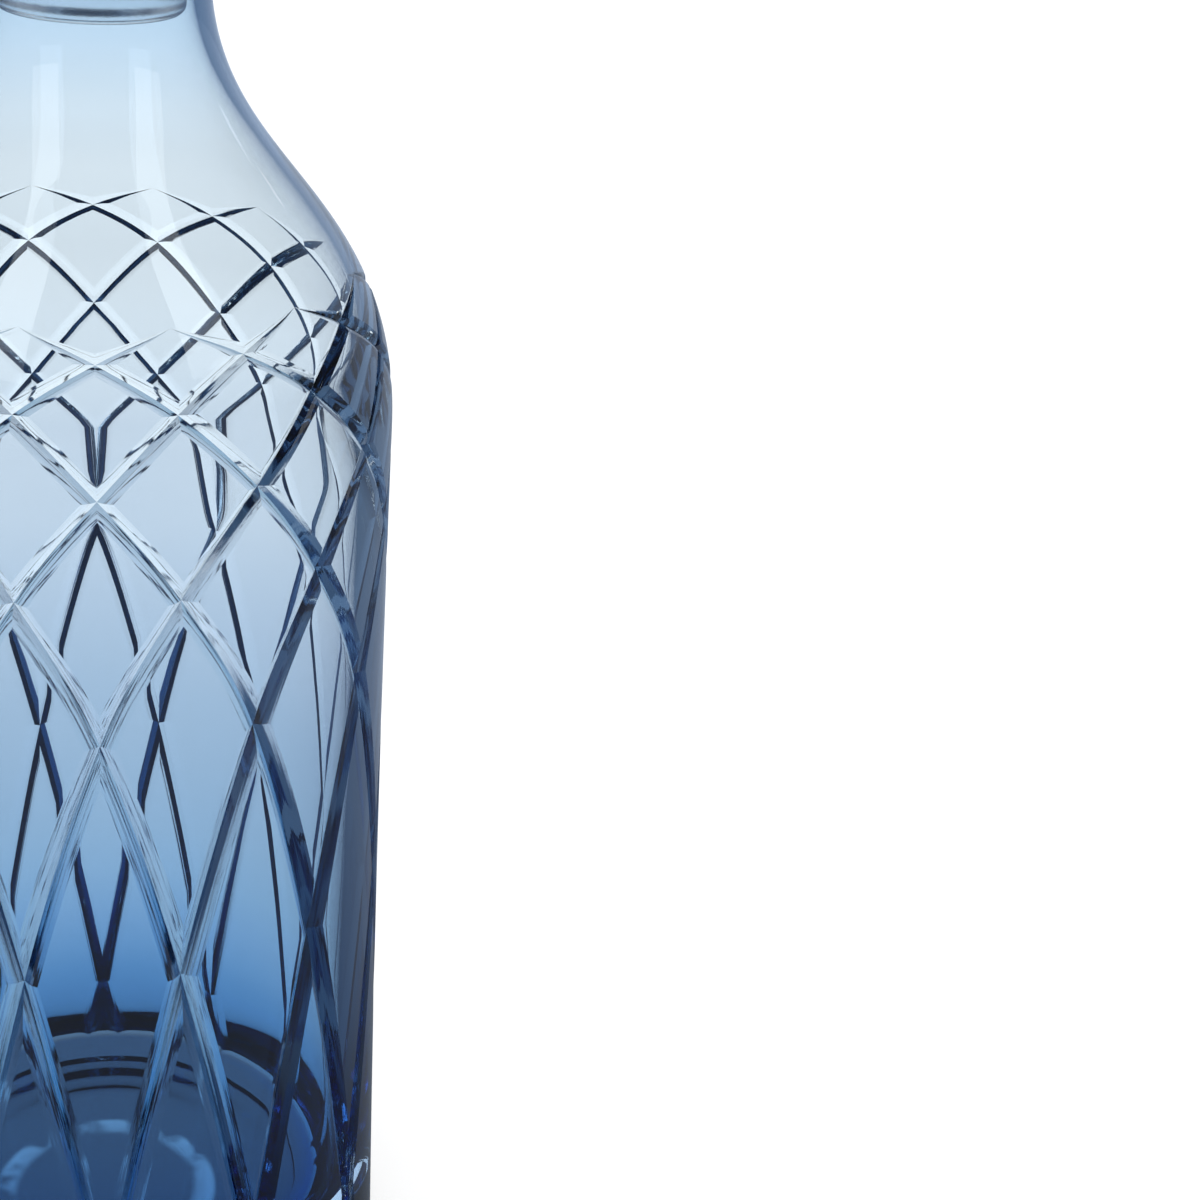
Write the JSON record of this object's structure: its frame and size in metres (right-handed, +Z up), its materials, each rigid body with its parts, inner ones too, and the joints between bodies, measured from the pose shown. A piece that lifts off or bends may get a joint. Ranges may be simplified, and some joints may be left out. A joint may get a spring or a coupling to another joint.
{
  "type": "decanter",
  "caption": "Tall round cut crystal decanter, clear at the neck and deep blue at the heavy base, with a lattice of crossing grooves and a lift-out ground stopper.",
  "frame": {"origin": "middle of the foot, on the surface that the decanter stands on", "axes": "+Z up along the axis of body and stopper, which is the longest extent; -Y faces a crossing in the first row below the groove tips"},
  "size_m": [0.0984, 0.0984, 0.3033],
  "materials": {
    "blue_crystal": "polished, fading from nearly clear at the neck to deep blue at the base",
    "pale_crystal": "polished, with a finely ground peg"
  },
  "bodies": {
    "decanter": {"decanter_body": "blue_crystal"},
    "stopper": {"stopper": "pale_crystal"}
  },
  "joints": [
    {"name": "stopper_lift", "type": "slide", "parent": "decanter", "child": "stopper", "axis": [0, 0, 1], "range_m": [0, 0.05]}
  ]
}
